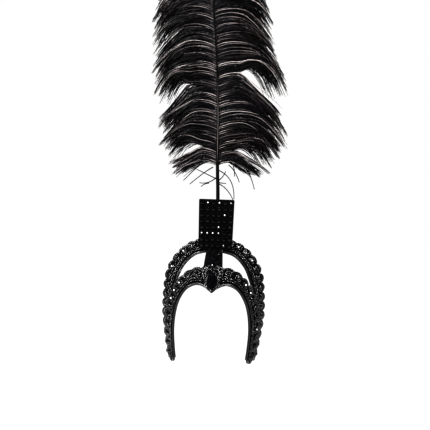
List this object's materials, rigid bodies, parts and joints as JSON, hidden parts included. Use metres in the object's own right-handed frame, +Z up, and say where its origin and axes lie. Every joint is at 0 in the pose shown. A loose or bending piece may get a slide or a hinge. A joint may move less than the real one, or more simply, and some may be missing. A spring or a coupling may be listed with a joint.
{
  "type": "feather headdress",
  "caption": "Black headdress of two braid covered bands that frame the face, with a brow strap, an upright plate of stones and one tall drooping ostrich plume.",
  "frame": {"origin": "middle of the crown band's underside, where the headdress sits on the crown of the head", "axes": "+Z up along the plume, -Y the way the wearer faces, +X towards the wearer's left"},
  "size_m": [0.2521, 0.124, 0.8272],
  "materials": {
    "buckram": "black cloth over stiffened buckram, matte",
    "piping": "glossy black piping",
    "braid": "black scroll gimp braid with small jet stones, silky",
    "jet_glass": "opaque faceted jet glass, polished",
    "plate_plastic": "plain black plastic, satin",
    "feather": "black ostrich feather, soft sheen"
  },
  "bodies": {
    "root": {"front_band": "buckram", "crown_band": "buckram", "front_rim": "piping", "crown_rim": "piping", "front_trim_right": "braid", "front_trim_left": "braid", "crown_trim_right": "braid", "crown_trim_left": "braid", "centre_strap": "buckram", "strap_stones": "jet_glass", "centre_stone": "jet_glass", "plume_plate": "plate_plastic", "plate_stones": "jet_glass", "plume_socket": "plate_plastic", "plume": "feather"}
  },
  "joints": []
}
